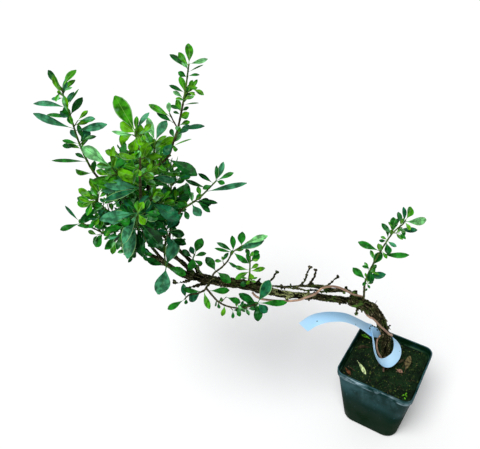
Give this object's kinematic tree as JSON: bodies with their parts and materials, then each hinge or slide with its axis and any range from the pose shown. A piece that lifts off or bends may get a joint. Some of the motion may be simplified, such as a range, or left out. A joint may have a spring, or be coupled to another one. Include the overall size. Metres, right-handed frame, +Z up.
{
  "type": "potted serissa shrub",
  "caption": "Small leafy shrub with a thin trunk trained far over to one side, growing in a square plastic nursery pot with a blank looped label and a training wire",
  "frame": {"origin": "centre of the pot's flat underside", "axes": "+Z up; the trunk leans and the crown lies towards -X; the side seen in the picture faces -Y; the pot is turned about Z by 33 degrees"},
  "size_m": [0.3891, 0.1423, 0.4768],
  "materials": {
    "pot": "satin, scuffed",
    "soil": "mossy, matte",
    "label": "smooth film",
    "wire": "satin, copper coloured",
    "bark": "rough, mossy",
    "foliage": "satin leaf"
  },
  "bodies": {
    "root": {"pot": "pot", "soil": "soil", "plant_label": "label", "training_wire": "wire", "trunk": "bark", "lower_bough": "bark", "upper_bough": "bark", "left_bough": "bark", "front_bough": "bark", "right_bough": "bark", "side_bough": "bark", "low_branch": "bark", "back_bough": "bark", "shoot_left_tall": "foliage", "shoot_left_low": "foliage", "cluster_left": "foliage", "cluster_left_front": "foliage", "shoot_front": "foliage", "shoot_right_tall": "foliage", "shoot_centre_back": "foliage", "shoot_right_small": "foliage", "fan_front": "foliage", "shoot_inner": "foliage", "whorl_front": "foliage", "cluster_trunk_left": "foliage", "twig_trunk": "foliage", "cluster_trunk_right": "foliage", "twig_hanging": "foliage", "cluster_low": "foliage", "shoot_near_pot": "foliage", "cluster_centre": "foliage", "cluster_middle": "foliage", "cluster_crown_low": "foliage", "shoot_centre_left": "foliage", "shoot_back_left": "foliage", "shoot_back": "foliage", "shoot_back_right": "foliage", "cluster_back_low": "foliage"}
  },
  "joints": []
}
